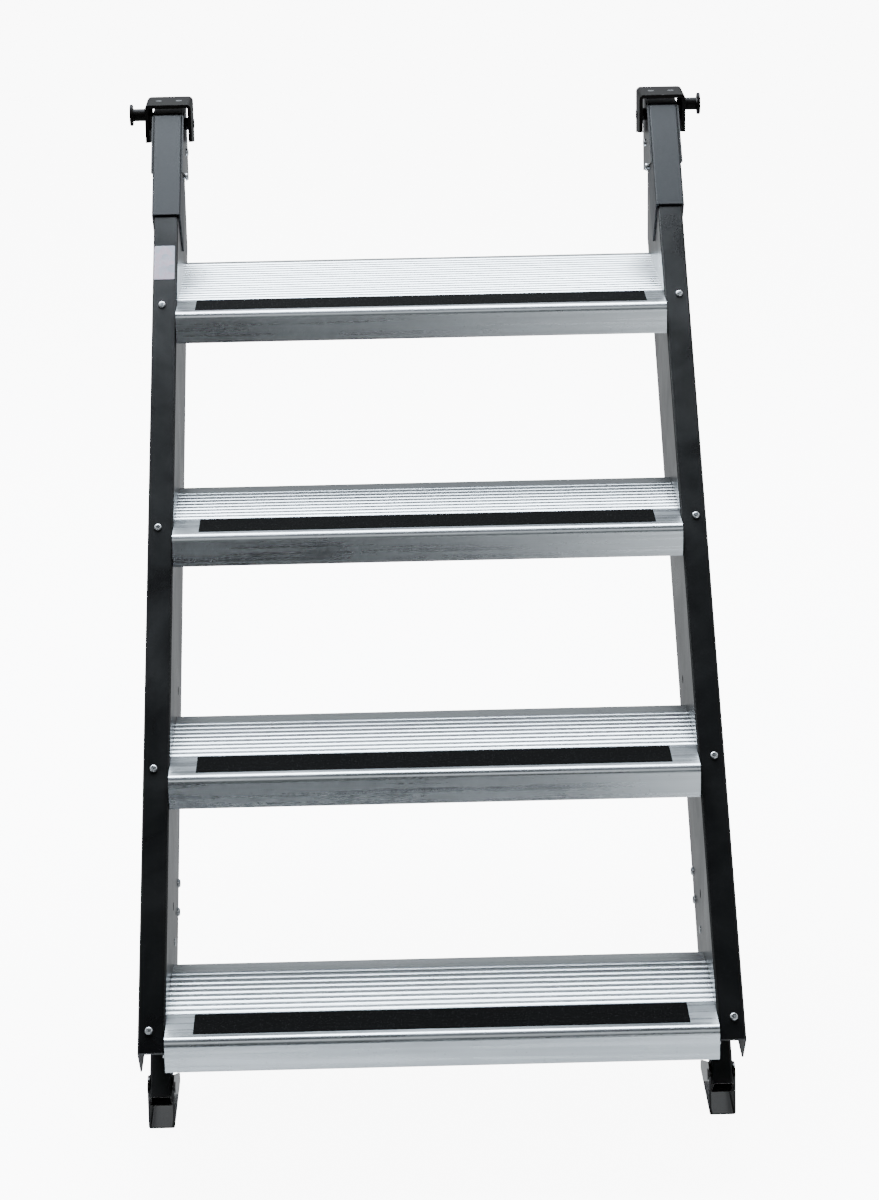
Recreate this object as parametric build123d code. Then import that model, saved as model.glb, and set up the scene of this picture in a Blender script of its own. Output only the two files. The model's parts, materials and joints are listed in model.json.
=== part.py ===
from build123d import *
import os
from math import atan2, cos, sin, sqrt

# Four-tread hook-on step for a tailgate or entry door. Two sheet-steel stringers carry aluminium treads.
# A slotted leg with a swivel foot slides inside each stringer, and a hanger cap with a spool stud pivots on
# each stringer's head. All sizes are in millimetres.
#
# Frame: +X to the right of a person who climbs, +Y forwards in the climb, +Z up, and the origin at the bottom
# centre of the box around the whole step. Side views use (y, z). Along a stringer, s is the distance up the
# slope and d the depth behind the stringer's front face.

# ---- Treads ----
TREAD_COUNT = 4
TREAD_LENGTH = 610.0
TREAD_DEPTH = 203.0
TOP_TREAD_DEPTH = 282.0
TREAD_HEIGHT = 38.5
TREAD_WALL = 3.0
NOSE_RADIUS = 9.0
RUN = 248.0
RISE = 212.0
FRONT_LIP = 16.0
BACK_LIP = 14.0
RIB_WALL = 2.5
RIB_SPACING = 66.0
LAND_DEPTH = 67.0
BACK_STRIP = 8.0
LOW_PORT_BACK = 30.0
RIDGE_PITCH = 12.9
RIDGE_WIDTH = 9.6
RIDGE_HEIGHT = 1.5
PORT_RADIUS = 4.6
PORT_DROP = 6.8

# ---- Grit tape ----
TAPE_WIDTH = 50.8
TAPE_THICKNESS = 0.9
TAPE_FROM_NOSE = 15.3
TAPE_INSET = 31.0
TOP_TAPE_INSET = 23.5
TAPE_CORNER = 1.0

# ---- Stringers: an inner web with a front flange, and an outer cover ----
SHEET = 2.0
BEND_RADIUS = 2.5
SEAM_GAP = 0.1
LAP_GAP = 0.2
FLANGE_SIDE_GAP = 0.5
WEB_DEPTH = 178.0
FACE_BEHIND_NOSE = 37.0
FLANGE_BELOW_NOSE = 31.5
TIP_DEPTH = 50.0
HEAD_ABOVE_TREAD = 197.0
HEAD_DEPTH = 56.0
STRUT_HOLES = ((193.0, 93.0, 5.3), (496.0, 122.0, 5.3), (202.0, 130.0, 2.5))
WEB_RIVET_S = 162.0
WEB_RIVET_D = 124.0
RIVET_RADIUS = 2.4
RIVET_HEAD_RADIUS = 4.8
RIVET_HEAD_HEIGHT = 1.4

# ---- Sleeve and head bracket at each stringer's top ----
SLEEVE_SHEET = 2.5
SLEEVE_GAP = 0.2
SLEEVE_BELOW_TOP = 1.0
SLEEVE_LENGTH = 160.0
SLEEVE_SIDE = 76.0
BRACKET_SHEET = 2.2
BRACKET_GAP = 0.15
BRACKET_FRONT_BELOW_TOP = 92.0
BRACKET_RISE = 3.0
BRACKET_OVERHANG = 17.0
BRACKET_DROP = 99.0
BRACKET_RAKE = 13.0
BRACKET_BEND = 4.0
HEAD_BOLTS_BELOW_TOP = (57.0, 17.0)
HEAD_BOLT_D = 54.0

# ---- Hanger cap, on its pivot pin ----
CAP_SHEET = 4.6
CAP_FRONT = 42.0
CAP_BACK = 20.0
CAP_ABOVE = 32.7
CAP_BELOW = 16.3
CAP_SLANT = 11.0
CAP_BEND = 6.0
PIVOT_BEHIND_FACE = 44.0
PIVOT_BELOW_TOP = 18.5
PAD_SIDE_GAP = 5.0
PAD_END_GAP = 14.0
PAD_CORNER = 4.0
PAD_THICKNESS = 3.0
CAP_SCREW_SPACING = 26.0
CAP_SCREW_RADIUS = 2.0
CAP_SCREW_HEAD = 4.0
CAP_SCREW_LENGTH = 7.0
CAP_SCREW_CROSS = (5.2, 0.9, 1.4)

# ---- Spool stud ----
STUD_RADIUS = 8.0
STUD_LENGTH = 17.0
STUD_FLANGE_RADIUS = 14.0
STUD_FLANGE = 4.0
STUD_BELOW_CAP = 18.0
STUD_THREAD_RADIUS = 5.0
STUD_NUT_FLATS = 17.0
STUD_NUT = 4.0
STUD_STICKOUT = 0.4
STUD_NUT_CLEARANCE = 0.5

# ---- Legs and feet ----
LEG_WIDTH = 25.4
LEG_WALL = 2.0
LEG_CORNER = 3.0
LEG_FROM_BACK = 18.0
LEG_SIDE_GAP = 0.75
LEG_BOLT_S = (218.5, 256.0)
LEG_EXTEND = 120.0
LEG_RETRACT = 60.0
LEG_TOP_MARGIN = 30.0
LEG_END_S = -20.7
LEG_END_TO_PIVOT = 17.0
FOOT_SHEET = 2.2
FOOT_BEND = 4.0
FOOT_GAP = 0.3
FOOT_PIVOT_HEIGHT = 42.5
FOOT_BOSS_RADIUS = 14.0
FOOT_TOE = 20.0
FOOT_HEEL = 96.0
FOOT_HEEL_RADIUS = 8.5
FOOT_TOE_RADIUS = 2.0

# ---- Fasteners and fits ----
BOLT_RADIUS = 3.0
BOLT_HEAD_RADIUS = 5.25
BOLT_HEAD = 3.3
BOLT_SOCKET = 4.0
NUT_FLATS = 10.0
NUT_HEIGHT = 5.0
THREAD_STICKOUT = 1.5
HEAD_ROUNDING = 0.8
PIN_RADIUS = 4.0
PIN_HEAD_RADIUS = 6.5
PIN_HEAD = 1.5
FOOT_RIVET_HEAD = 0.8
HOLE_CLEARANCE = 0.1
PIVOT_CLEARANCE = 0.06
SLOT_CLEARANCE = 0.2
END_PLAY = 0.1
SPACER_RADIUS = 6.5
COLLAR_RADIUS = 8.0
TREAD_SCREW_RADIUS = 2.4
TREAD_SCREW_HEAD_RADIUS = 4.5
TREAD_SCREW_HEAD = 2.6
TREAD_SCREW_LENGTH = 25.0
COVER_SCREW_FROM_NOSE = -5.0
COVER_SCREW_CREEP = 2.6
COVER_SCREW_SHIFT = 2.0
COVER_SCREW_RADIUS = 2.5
COVER_SCREW_HEAD_RADIUS = 4.6
COVER_SCREW_HEAD = 2.8
COVER_SCREW_SOCKET = 3.2
COVER_NUT_RADIUS = 4.8
COVER_NUT_HEIGHT = 6.0
CHAMFER = 0.8

# ---- Label plate ----
LABEL_WIDTH = 26.0
LABEL_LENGTH = 52.0
LABEL_THICKNESS = 0.3
LABEL_BELOW_SLEEVE = 48.0

# ---- Worked-out sizes ----
SLOPE = atan2(RISE, RUN)
COS = cos(SLOPE)
SIN = sin(SLOPE)
PITCH = sqrt(RISE ** 2 + RUN ** 2)
WEB_IN = TREAD_LENGTH / 2
WEB_OUT = WEB_IN + SHEET
FLANGE_IN = WEB_OUT + SEAM_GAP
COVER_IN = WEB_OUT + LEG_WIDTH + 2 * LEG_SIDE_GAP
COVER_OUT = COVER_IN + SHEET
STRINGER_WIDTH = COVER_OUT - WEB_IN
SIDE_X = (WEB_IN + COVER_OUT) / 2
SLEEVE_HALF = STRINGER_WIDTH / 2 + SLEEVE_GAP + SLEEVE_SHEET
BRACKET_HALF = SLEEVE_HALF + BRACKET_GAP + BRACKET_SHEET
CHEEK_IN = BRACKET_HALF + STUD_NUT_CLEARANCE + STUD_STICKOUT + STUD_NUT
CAP_HALF = CHEEK_IN + CAP_SHEET
FOOT_INNER = LEG_WIDTH / 2 + FOOT_GAP
FOOT_HALF = FOOT_INNER + FOOT_SHEET
TOP_NOSE_Y = RUN * (TREAD_COUNT - 1)
TOP_NOSE_Z = RISE * (TREAD_COUNT - 1)
HEAD_TOP_S = (TOP_NOSE_Z + HEAD_ABOVE_TREAD) / SIN
SLEEVE_BOTTOM_S = HEAD_TOP_S - SLEEVE_BELOW_TOP - SLEEVE_LENGTH
LEG_DEPTH = WEB_DEPTH - LEG_FROM_BACK
LEG_PIVOT_S = LEG_END_S + LEG_END_TO_PIVOT
STEP_HEIGHT = FOOT_PIVOT_HEIGHT - LEG_PIVOT_S * SIN + LEG_DEPTH * COS
HEAD_FACE_Y = FACE_BEHIND_NOSE + (TOP_NOSE_Z + HEAD_ABOVE_TREAD) * COS / SIN
HEAD_BACK_Y = HEAD_FACE_Y + HEAD_DEPTH + BRACKET_OVERHANG
NOSE_Y = -HEAD_BACK_Y / 2
NOSE_Z = STEP_HEIGHT
FACE_Y = NOSE_Y + FACE_BEHIND_NOSE
HEAD_Y = NOSE_Y + HEAD_FACE_Y
HEAD_Z = NOSE_Z + TOP_NOSE_Z + HEAD_ABOVE_TREAD
TIP_Z = NOSE_Z - FLANGE_BELOW_NOSE * SIN - TIP_DEPTH * COS
BRACKET_TOP = HEAD_Z + BRACKET_RISE
PIVOT_Y = HEAD_Y + PIVOT_BEHIND_FACE
PIVOT_Z = HEAD_Z - PIVOT_BELOW_TOP
CAP_TOP = PIVOT_Z + CAP_ABOVE
CAP_MID_Y = PIVOT_Y + (CAP_BACK - CAP_FRONT) / 2
STUD_Z = CAP_TOP - STUD_BELOW_CAP
COVER_SCREW_X = (FLANGE_IN + COVER_OUT) / 2 + COVER_SCREW_SHIFT


# ---- Helpers ----
def on_slope(s, d):
    """Side-view point at distance s up the slope and depth d behind the stringer's front face."""
    return (FACE_Y + s * COS + d * SIN, NOSE_Z + s * SIN - d * COS)


def top_s(d):
    """Distance up the slope at which depth d reaches the head's horizontal cut."""
    return (HEAD_Z - NOSE_Z + d * COS) / SIN


def side_face(*points):
    """Side-view face through the given (y, z) corners."""
    return make_face(Polyline(*points, close=True))


def rectangle(low, high):
    """Side-view rectangle from its low corner to its high corner."""
    return side_face(low, (high[0], low[1]), high, (low[0], high[1]))


def across(face, x_low, x_high):
    """Side-view face made solid from x_low to x_high."""
    return extrude(Plane.YZ.offset(x_low) * face, amount=x_high - x_low)


def rod(point, radius, x_low, x_high):
    """Round bar along X through a side-view point."""
    return across(Pos(*point) * Circle(radius), x_low, x_high)


def tube(point, outer, inner, x_low, x_high):
    """Round tube along X through a side-view point."""
    return rod(point, outer, x_low, x_high) - rod(point, inner, x_low - 1, x_high + 1)


def hexagon(point, flats, x_low, x_high):
    """Hexagonal prism along X, with both ends chamfered, as on a nut."""
    prism = across(Pos(*point) * RegularPolygon(flats / 2, 6, major_radius=False), x_low, x_high)
    barrel = rod(point, flats / sqrt(3), x_low, x_high)
    rims = barrel.edges().filter_by(GeomType.CIRCLE)
    return prism & chamfer(rims, CHAMFER)


def nut(point, seat, outward, flats=NUT_FLATS, height=NUT_HEIGHT, radius=BOLT_RADIUS):
    """Hex nut along X that seats at x = seat and stands out in the direction of outward."""
    body = hexagon(point, flats, *sorted((seat, seat + outward * height)))
    return body - rod(point, radius + PIVOT_CLEARANCE, seat - height - 1, seat + height + 1)


def button_screw(frame, radius, head_radius, head_height, socket, length):
    """Button-head screw, seated on the frame's plane, with a hex socket as deep as its head."""
    head = extrude(Circle(head_radius), amount=head_height)
    rim = head.edges().filter_by(GeomType.CIRCLE).sort_by(Axis.Z)[-1]
    head = fillet(rim, head_height * HEAD_ROUNDING)
    head -= extrude(RegularPolygon(socket / 2, 6, major_radius=False), amount=head_height + 1)
    return frame.location * (head + extrude(Circle(radius), amount=-length))


def inner_bolts(points, seat, end):
    """Button-head bolts along X: their heads seat at x = seat and face the middle of the step."""
    bolts = []
    for y, z in points:
        frame = Plane(origin=(seat, y, z), x_dir=(0, 1, 0), z_dir=(-1, 0, 0))
        bolts.append(button_screw(frame, BOLT_RADIUS, BOLT_HEAD_RADIUS, BOLT_HEAD, BOLT_SOCKET, end - seat))
    return Compound(bolts)


def domed_head(point, radius, height, seat, outward):
    """Low round head along X that seats at x = seat, with its outer rim rounded."""
    head = rod(point, radius, *sorted((seat, seat + outward * height)))
    rims = head.edges().filter_by(GeomType.CIRCLE).sort_by(Axis.X)
    return fillet(rims[-1] if outward > 0 else rims[0], height * HEAD_ROUNDING)


def rivet(point, radius, head_radius, head_height, x_low, x_high):
    """Pin along X with a low domed head at each end."""
    heads = domed_head(point, head_radius, head_height, x_low, -1)
    heads += domed_head(point, head_radius, head_height, x_high, 1)
    return heads + rod(point, radius, x_low - head_height / 2, x_high + head_height / 2)


def edges_along_slope(shape, x, d):
    """The edges of a stringer part that run up the slope at the given x and depth."""
    line_y, line_z = on_slope(0, d)
    found = []
    for edge in shape.edges().filter_by(GeomType.LINE):
        middle = edge.position_at(0.5)
        off_line = (middle.Y - line_y) * SIN - (middle.Z - line_z) * COS
        if abs(middle.X - x) < 0.01 and abs(off_line) < 0.01:
            found.append(edge)
    return found


def edges_along_y(shape, x, z):
    """The straight edges of a shape that run along Y at the given x and z."""
    found = []
    for edge in shape.edges().filter_by(Axis.Y):
        middle = edge.position_at(0.5)
        if abs(middle.X - x) < 0.01 and abs(middle.Z - z) < 0.01:
            found.append(edge)
    return found


def face_frame(x, s, d=0.0):
    """Plane on a stringer's front face, with its normal pointing out and its local Y up the slope."""
    y, z = on_slope(s, d)
    return Plane(origin=(x, y, z), x_dir=(1, 0, 0), z_dir=(0, -SIN, COS))


# ---- Treads ----
def tread_ports(depth):
    """Side-view centres of a tread's screw ports, measured from its nose."""
    low = (TREAD_WALL + PORT_RADIUS + LOW_PORT_BACK, PORT_RADIUS - TREAD_HEIGHT)
    first = LAND_DEPTH + PORT_DROP
    last = depth - BACK_STRIP - PORT_DROP
    return [low] + [(first + share * (last - first), -PORT_DROP) for share in (0.0, 0.5, 1.0)]


def tread_section(depth):
    """Section of the extruded tread, with its nose line at (0, 0)."""
    inner = TREAD_WALL - TREAD_HEIGHT
    shell = rectangle((0, -TREAD_HEIGHT), (depth, 0))
    shell -= rectangle((TREAD_WALL, -TREAD_HEIGHT), (depth - TREAD_WALL, -TREAD_WALL))
    corner = shell.vertices().sort_by_distance((0, 0, 0))[0]
    shell = fillet(corner, NOSE_RADIUS)
    corner = shell.vertices().sort_by_distance((TREAD_WALL, -TREAD_WALL, 0))[0]
    shell = fillet(corner, NOSE_RADIUS - TREAD_WALL)
    low_y = tread_ports(depth)[0][0]
    shell += rectangle((TREAD_WALL / 2, -TREAD_HEIGHT), (max(FRONT_LIP, low_y), inner))
    shell += rectangle((depth - BACK_LIP, -TREAD_HEIGHT), (depth - TREAD_WALL / 2, inner))
    rib = RIB_SPACING
    while rib < depth - BACK_LIP:
        shell += rectangle((rib - RIB_WALL / 2, -TREAD_HEIGHT), (rib + RIB_WALL / 2, -TREAD_WALL / 2))
        rib += RIB_SPACING
    for port in tread_ports(depth):
        shell += Pos(*port) * Circle(PORT_RADIUS)
    crown = (RIDGE_WIDTH ** 2 / 4 + RIDGE_HEIGHT ** 2) / (2 * RIDGE_HEIGHT)
    count = int((depth - LAND_DEPTH - BACK_STRIP) / RIDGE_PITCH)
    above = rectangle((0, -TREAD_WALL / 2), (depth, RIDGE_HEIGHT + 1))
    for index in range(count):
        middle = LAND_DEPTH + (index + 0.5) * RIDGE_PITCH
        shell += (Pos(middle, RIDGE_HEIGHT - crown) * Circle(crown)) & above
    for port in tread_ports(depth):
        shell -= Pos(*port) * Circle(TREAD_SCREW_RADIUS + PIVOT_CLEARANCE)
    return shell


def tread_nose(index):
    """Side-view point of a tread's top nose line."""
    return (NOSE_Y + index * RUN, NOSE_Z + index * RISE)


def tread_depth(index):
    """Depth of a tread: the top one is deeper."""
    return TOP_TREAD_DEPTH if index == TREAD_COUNT - 1 else TREAD_DEPTH


def make_tread(index):
    section = Pos(*tread_nose(index)) * tread_section(tread_depth(index))
    return across(section, -TREAD_LENGTH / 2, TREAD_LENGTH / 2)


def make_tape(index):
    """Grit tape on the flat land behind the nose."""
    inset = TOP_TAPE_INSET if index == TREAD_COUNT - 1 else TAPE_INSET
    nose_y, nose_z = tread_nose(index)
    middle = (0, nose_y + TAPE_FROM_NOSE + TAPE_WIDTH / 2, nose_z)
    strip = RectangleRounded(TREAD_LENGTH - 2 * inset, TAPE_WIDTH, TAPE_CORNER)
    return extrude(Pos(*middle) * strip, amount=TAPE_THICKNESS)


def port_points():
    """Side-view centres of every tread screw on one stringer."""
    points = []
    for index in range(TREAD_COUNT):
        nose_y, nose_z = tread_nose(index)
        for port_y, port_z in tread_ports(tread_depth(index)):
            points.append((nose_y + port_y, nose_z + port_z))
    return points


# ---- Stringers (the right-hand ones; the left-hand ones are their mirror images) ----
def web_outline(front_d):
    """Side view of a stringer's web, from depth front_d to the back."""
    back_y = HEAD_Y + HEAD_DEPTH
    back_z = NOSE_Z + ((back_y - FACE_Y) * SIN - WEB_DEPTH) / COS
    tip_y = on_slope(-FLANGE_BELOW_NOSE, TIP_DEPTH)[0]
    heel_y = FACE_Y + (WEB_DEPTH + (TIP_Z - NOSE_Z) * COS) / SIN
    return side_face(
        on_slope(-FLANGE_BELOW_NOSE, front_d), (tip_y, TIP_Z), (heel_y, TIP_Z),
        (back_y, back_z), (back_y, HEAD_Z), on_slope(top_s(front_d), front_d),
    )


def flange_outline(front_d):
    """Side view of a front flange, one sheet thick, that starts at depth front_d."""
    back_d = front_d + SHEET
    return side_face(
        on_slope(-FLANGE_BELOW_NOSE, front_d), on_slope(-FLANGE_BELOW_NOSE, back_d),
        on_slope(top_s(back_d), back_d), on_slope(top_s(front_d), front_d),
    )


def leg_bolt_points():
    return [on_slope(s, LEG_DEPTH) for s in LEG_BOLT_S]


def head_bolt_points():
    return [on_slope(HEAD_TOP_S - below, HEAD_BOLT_D) for below in HEAD_BOLTS_BELOW_TOP]


def cover_screw_s():
    """Distance up the slope of each front screw, one beside each tread and a little higher each time."""
    return [COVER_SCREW_FROM_NOSE + index * (PITCH + COVER_SCREW_CREEP) for index in range(TREAD_COUNT)]


def drill_through(shape, points, radius):
    """Shape with holes along X at side-view points."""
    for point in points:
        shape -= rod(point, radius, WEB_IN - CAP_HALF, COVER_OUT + CAP_HALF)
    return shape


def drill_flange(shape):
    """Flange with the front screws' clearance holes."""
    for s in cover_screw_s():
        hole = Circle(COVER_SCREW_RADIUS + HOLE_CLEARANCE)
        shape -= extrude(face_frame(COVER_SCREW_X, s) * hole, amount=2 * SHEET + 2, both=True)
    return shape


def drill_head(shape):
    """Head part with the holes for the head bolts and the pivot pin."""
    shape = drill_through(shape, head_bolt_points(), BOLT_RADIUS + HOLE_CLEARANCE)
    return drill_through(shape, [(PIVOT_Y, PIVOT_Z)], PIN_RADIUS + HOLE_CLEARANCE)


def make_stringer():
    front = SHEET + LAP_GAP
    body = across(web_outline(front), WEB_IN, WEB_OUT)
    body += across(flange_outline(front), WEB_IN, COVER_IN - FLANGE_SIDE_GAP)
    body = fillet(edges_along_slope(body, WEB_IN, front), BEND_RADIUS)
    body = drill_flange(drill_head(body))
    body = drill_through(body, leg_bolt_points(), BOLT_RADIUS + HOLE_CLEARANCE)
    body = drill_through(body, port_points(), TREAD_SCREW_RADIUS + HOLE_CLEARANCE)
    body = drill_through(body, [on_slope(WEB_RIVET_S, WEB_RIVET_D)], RIVET_RADIUS)
    for s, d, radius in STRUT_HOLES:
        body = drill_through(body, [on_slope(s, d)], radius)
    return body


def make_cover():
    body = across(web_outline(0), COVER_IN, COVER_OUT)
    body += across(flange_outline(0), FLANGE_IN, COVER_OUT)
    body = fillet(edges_along_slope(body, COVER_OUT, 0), BEND_RADIUS)
    return drill_flange(drill_head(body))


def make_cover_screws():
    """Button-head screws through both flanges, one beside each tread."""
    length = 2 * SHEET + LAP_GAP + COVER_NUT_HEIGHT + 1
    screws = []
    for s in cover_screw_s():
        frame = face_frame(COVER_SCREW_X, s)
        sizes = (COVER_SCREW_RADIUS, COVER_SCREW_HEAD_RADIUS, COVER_SCREW_HEAD, COVER_SCREW_SOCKET, length)
        screws.append(button_screw(frame, *sizes))
    return Compound(screws)


def make_cover_nuts():
    """Round weld nuts behind the stringer's flange."""
    nuts = []
    for s in cover_screw_s():
        frame = face_frame(COVER_SCREW_X, s, 2 * SHEET + LAP_GAP)
        ring = Circle(COVER_NUT_RADIUS) - Circle(COVER_SCREW_RADIUS + PIVOT_CLEARANCE)
        nuts.append(extrude(frame * ring, amount=-COVER_NUT_HEIGHT))
    return Compound(nuts)


def make_tread_screws():
    """Pan-head screws, from inside the stringer into the ports in each tread's end."""
    screws = []
    for point in port_points():
        head = domed_head(point, TREAD_SCREW_HEAD_RADIUS, TREAD_SCREW_HEAD, WEB_OUT, 1)
        screws.append(head + rod(point, TREAD_SCREW_RADIUS, WEB_IN - TREAD_SCREW_LENGTH, WEB_OUT + 1))
    return Compound(screws)


def make_web_rivet():
    """Rivet in the inner web, above the lowest tread."""
    point = on_slope(WEB_RIVET_S, WEB_RIVET_D)
    return rivet(point, RIVET_RADIUS, RIVET_HEAD_RADIUS, RIVET_HEAD_HEIGHT, WEB_IN, WEB_OUT)


# ---- Head: sleeve, bracket and their bolts ----
def make_sleeve():
    """Channel round the front of the stringer's top."""
    front = -SLEEVE_GAP - SLEEVE_SHEET
    top = SLEEVE_BOTTOM_S + SLEEVE_LENGTH

    def block(from_d, to_d, half):
        outline = side_face(
            on_slope(SLEEVE_BOTTOM_S, from_d), on_slope(SLEEVE_BOTTOM_S, to_d),
            on_slope(top, to_d), on_slope(top, from_d),
        )
        return across(outline, SIDE_X - half, SIDE_X + half)

    body = block(front, SLEEVE_SIDE, SLEEVE_HALF)
    corners = edges_along_slope(body, SIDE_X - SLEEVE_HALF, front)
    corners += edges_along_slope(body, SIDE_X + SLEEVE_HALF, front)
    body = fillet(corners, BEND_RADIUS)
    body -= block(-SLEEVE_GAP, SLEEVE_SIDE + 1, SLEEVE_HALF - SLEEVE_SHEET)
    return drill_through(body, head_bolt_points(), BOLT_RADIUS + HOLE_CLEARANCE)


def make_head_bracket():
    """Inverted channel over the sleeve, with a level top plate."""
    face_y = HEAD_Y + BRACKET_RISE * COS / SIN
    back_y = HEAD_Y + HEAD_DEPTH + BRACKET_OVERHANG
    outline = side_face(
        on_slope(HEAD_TOP_S - BRACKET_FRONT_BELOW_TOP, 0),
        (back_y - BRACKET_RAKE, BRACKET_TOP - BRACKET_DROP), (back_y, BRACKET_TOP), (face_y, BRACKET_TOP),
    )
    body = across(outline, SIDE_X - BRACKET_HALF, SIDE_X + BRACKET_HALF)
    corners = edges_along_y(body, SIDE_X - BRACKET_HALF, BRACKET_TOP)
    corners += edges_along_y(body, SIDE_X + BRACKET_HALF, BRACKET_TOP)
    body = fillet(corners, BRACKET_BEND)
    inner = BRACKET_HALF - BRACKET_SHEET
    room = Box(2 * inner, HEAD_BACK_Y, HEAD_Z, align=(Align.CENTER, Align.MIN, Align.MAX))
    corners = edges_along_y(room, -inner, 0) + edges_along_y(room, inner, 0)
    room = fillet(corners, BRACKET_BEND - BRACKET_SHEET)
    return drill_head(body - Pos(SIDE_X, 0, BRACKET_TOP - BRACKET_SHEET) * room)


def make_head_bolts():
    """Bolts through the whole head, flush with the bracket's outer side."""
    return inner_bolts(head_bolt_points(), SIDE_X - BRACKET_HALF, SIDE_X + BRACKET_HALF)


def make_head_spacers():
    """Tubes inside the stringer: two that the head bolts thread into, and one round the pivot pin."""
    spacers = []
    for point in head_bolt_points():
        spacers.append(tube(point, SPACER_RADIUS, BOLT_RADIUS + PIVOT_CLEARANCE, WEB_OUT, COVER_IN))
    spacers.append(tube((PIVOT_Y, PIVOT_Z), SPACER_RADIUS, PIN_RADIUS + PIVOT_CLEARANCE, WEB_OUT, COVER_IN))
    return Compound(spacers)


# ---- Hanger cap, on the pivot pin ----
def make_hanger_cap():
    """Inverted channel with a level top, whose cheeks reach lower at the back."""
    front = PIVOT_Y - CAP_FRONT
    back = PIVOT_Y + CAP_BACK
    bottom = PIVOT_Z - CAP_BELOW
    outline = side_face((front, bottom), (back, bottom - CAP_SLANT), (back, CAP_TOP), (front, CAP_TOP))
    body = across(outline, SIDE_X - CAP_HALF, SIDE_X + CAP_HALF)
    corners = edges_along_y(body, SIDE_X - CAP_HALF, CAP_TOP)
    corners += edges_along_y(body, SIDE_X + CAP_HALF, CAP_TOP)
    body = fillet(corners, CAP_BEND)
    depth = CAP_FRONT + CAP_BACK + 2
    height = CAP_ABOVE + CAP_BELOW + CAP_SLANT
    room = Box(2 * CHEEK_IN, depth, height, align=(Align.CENTER, Align.CENTER, Align.MAX))
    corners = edges_along_y(room, -CHEEK_IN, 0) + edges_along_y(room, CHEEK_IN, 0)
    room = fillet(corners, CAP_BEND - CAP_SHEET)
    body -= Pos(SIDE_X, CAP_MID_Y, CAP_TOP - CAP_SHEET) * room
    body = drill_through(body, [(PIVOT_Y, PIVOT_Z)], PIN_RADIUS + PIVOT_CLEARANCE)
    hole = rod((CAP_MID_Y, STUD_Z), STUD_THREAD_RADIUS + PIVOT_CLEARANCE, SIDE_X, SIDE_X + CAP_HALF + 1)
    for x in cap_screw_x():
        hole += Pos(x, CAP_MID_Y, CAP_TOP) * cap_screw(PIVOT_CLEARANCE)
    return body - hole


def cap_screw_x():
    return (SIDE_X - CAP_SCREW_SPACING / 2, SIDE_X + CAP_SCREW_SPACING / 2)


def cap_screw(extra=0.0):
    """Countersunk screw, pointing down from its flat top at the origin. Extra widens it for its hole."""
    drop = CAP_SCREW_HEAD - CAP_SCREW_RADIUS
    top_radius = CAP_SCREW_HEAD + extra
    head = Cone(CAP_SCREW_RADIUS + extra, top_radius, drop, align=(Align.CENTER, Align.CENTER, Align.MAX))
    radius = CAP_SCREW_RADIUS + extra
    shank = Cylinder(radius, CAP_SCREW_LENGTH, align=(Align.CENTER, Align.CENTER, Align.MAX))
    return head + shank


def make_cap_screws():
    """Two countersunk screws that hold the wear pad under the cap."""
    slot = Box(*CAP_SCREW_CROSS)
    cross = slot + Rot(0, 0, 90) * slot
    screws = [Pos(x, CAP_MID_Y, CAP_TOP) * (cap_screw() - cross) for x in cap_screw_x()]
    return Compound(screws)


def make_hanger_pad():
    """Nylon wear pad under the cap's top."""
    width = 2 * (CHEEK_IN - PAD_SIDE_GAP)
    depth = CAP_FRONT + CAP_BACK - 2 * PAD_END_GAP
    pad = Box(width, depth, PAD_THICKNESS, align=(Align.CENTER, Align.CENTER, Align.MAX))
    pad = fillet(pad.edges().filter_by(Axis.Z), PAD_CORNER)
    pad = Pos(SIDE_X, CAP_MID_Y, CAP_TOP - CAP_SHEET) * pad
    for x in cap_screw_x():
        pad -= Pos(x, CAP_MID_Y, CAP_TOP) * cap_screw(PIVOT_CLEARANCE)
    return pad


def make_hanger_stud():
    """Spool stud on the cap's outer cheek."""
    point = (CAP_MID_Y, STUD_Z)
    cheek = SIDE_X + CAP_HALF
    end = cheek + STUD_LENGTH + STUD_FLANGE
    flange = rod(point, STUD_FLANGE_RADIUS, end - STUD_FLANGE, end)
    flange = chamfer(flange.edges().filter_by(GeomType.CIRCLE), CHAMFER)
    thread = rod(point, STUD_THREAD_RADIUS, cheek - CAP_SHEET - STUD_NUT - STUD_STICKOUT, cheek + 1)
    return flange + rod(point, STUD_RADIUS, cheek, end - 1) + thread


def make_stud_nut():
    point = (CAP_MID_Y, STUD_Z)
    return nut(point, SIDE_X + CHEEK_IN, -1, STUD_NUT_FLATS, STUD_NUT, STUD_THREAD_RADIUS)


def make_pivot_pin():
    """Pin through the head bracket and both of the cap's cheeks, headed over at each end."""
    reach = CAP_HALF + END_PLAY
    return rivet((PIVOT_Y, PIVOT_Z), PIN_RADIUS, PIN_HEAD_RADIUS, PIN_HEAD, SIDE_X - reach, SIDE_X + reach)


def make_pivot_collars():
    """Collars on the pivot pin, between the head bracket and the cap's cheeks."""
    collars = []
    for low, high in ((-CHEEK_IN + END_PLAY, -BRACKET_HALF), (BRACKET_HALF, CHEEK_IN - END_PLAY)):
        bore = PIN_RADIUS + PIVOT_CLEARANCE
        collars.append(tube((PIVOT_Y, PIVOT_Z), COLLAR_RADIUS, bore, SIDE_X + low, SIDE_X + high))
    return Compound(collars)


# ---- Legs and feet ----
def slope_frame(s, d):
    """Plane square to the slope at s and d, with its normal up the slope and its local Y along the depth."""
    y, z = on_slope(s, d)
    return Plane(origin=(SIDE_X, y, z), x_dir=(-1, 0, 0), z_dir=(0, COS, SIN))


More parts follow.
